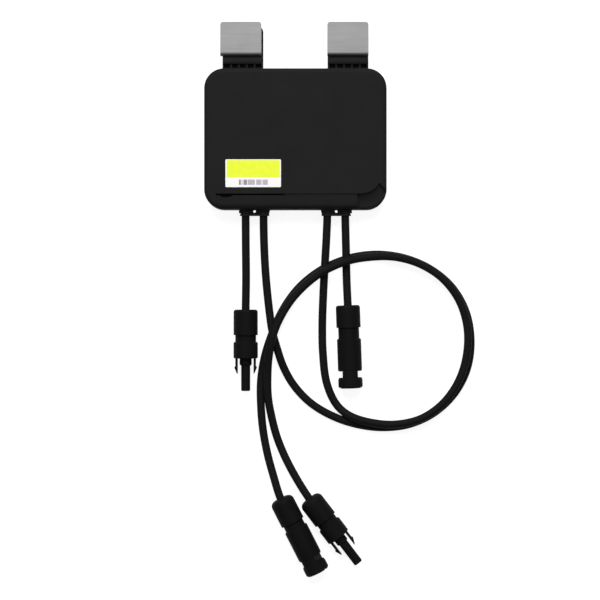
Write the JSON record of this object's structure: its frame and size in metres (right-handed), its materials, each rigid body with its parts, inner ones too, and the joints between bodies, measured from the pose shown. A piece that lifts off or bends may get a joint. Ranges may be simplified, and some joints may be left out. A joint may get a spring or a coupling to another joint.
{
  "type": "solar power optimizer",
  "caption": "Flat sealed add-on power optimizer for a solar module, with spring clips for the module frame, short input leads and long looped output leads ending in latching connectors.",
  "frame": {"origin": "middle of the housing's flat back face, on which it lies", "axes": "+Z out of the front face, +Y towards the clips, +X to the right seen from the front"},
  "size_m": [0.2067, 0.424, 0.0231],
  "materials": {
    "shell_plastic": "fine matt texture",
    "cover_plastic": "fine matt texture",
    "bar_plastic": "fine matt texture",
    "clip_steel": "dull spring steel",
    "gland_rubber": "matt",
    "lead_jacket": "satin",
    "connector_plastic": "satin",
    "label_film": "printed film",
    "soft_seal": "matt",
    "oring_black": "matt",
    "board_green": "solder mask",
    "plated_steel": "plated",
    "spreader_aluminium": "plain",
    "pad_rubber": "matt",
    "chip_black": "moulded",
    "core_grey": "coated powder core",
    "copper_wire": "enamelled copper",
    "capacitor_red": "cast box",
    "shield_can": "tinned",
    "contact_metal": "tin plated"
  },
  "bodies": {
    "root": {"rear_shell": "shell_plastic", "front_cover": "cover_plastic", "cable_cover": "bar_plastic", "housing_seal": "soft_seal", "left_clip": "clip_steel", "right_clip": "clip_steel", "left_gland": "gland_rubber", "right_gland": "gland_rubber", "label": "label_film", "circuit_board": "board_green", "board_screws": "plated_steel", "heat_spreader": "spreader_aluminium", "thermal_pad": "pad_rubber", "power_mosfets": "chip_black", "inductor_core": "core_grey", "inductor_winding": "copper_wire", "film_capacitors": "capacitor_red", "bypass_diode": "chip_black", "control_chip": "chip_black", "radio_module": "shield_can", "lead_terminals": "contact_metal", "input_left_lead": "lead_jacket", "input_right_lead": "lead_jacket", "output_left_lead": "lead_jacket", "output_right_lead": "lead_jacket", "input_left_plug_body": "connector_plastic", "input_left_plug_nut": "connector_plastic", "input_left_plug_seal": "soft_seal", "input_left_plug_contact": "contact_metal", "input_left_plug_oring": "oring_black", "input_right_socket_body": "connector_plastic", "input_right_socket_nut": "connector_plastic", "input_right_socket_seal": "soft_seal", "input_right_socket_contact": "contact_metal", "output_left_socket_body": "connector_plastic", "output_left_socket_nut": "connector_plastic", "output_left_socket_seal": "soft_seal", "output_left_socket_contact": "contact_metal", "output_right_plug_body": "connector_plastic", "output_right_plug_nut": "connector_plastic", "output_right_plug_seal": "soft_seal", "output_right_plug_contact": "contact_metal", "output_right_plug_oring": "oring_black"}
  },
  "joints": []
}
